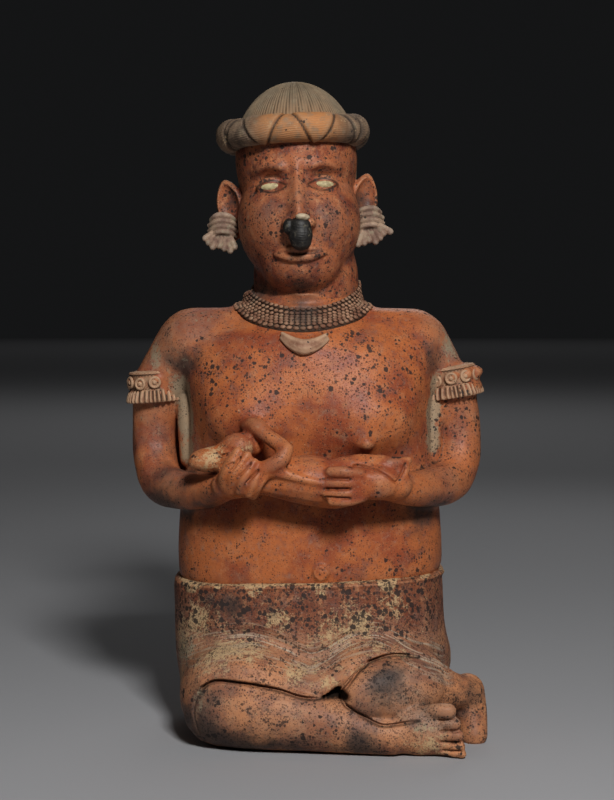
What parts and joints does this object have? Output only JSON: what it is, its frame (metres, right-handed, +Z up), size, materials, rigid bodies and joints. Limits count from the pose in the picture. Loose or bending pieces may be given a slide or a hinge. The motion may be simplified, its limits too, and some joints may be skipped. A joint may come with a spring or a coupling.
{
  "type": "seated figure",
  "caption": "Hollow fired-clay figure of a seated woman who nurses a child, legs folded to one side, with headband, ear ornaments, collar, armbands and wrap skirt.",
  "frame": {"origin": "middle of the bounding box at the level of the flat underside", "axes": "+Z up, the figure faces -Y, +X to the right of somebody who looks at the face"},
  "size_m": [0.3357, 0.2384, 0.5998],
  "materials": {
    "burnished_red_clay": "burnished red slip, worn, with black mineral spots, pale burial dust and dark fire clouds"
  },
  "bodies": {
    "root": {"seated_figure": "burnished_red_clay"}
  },
  "joints": []
}
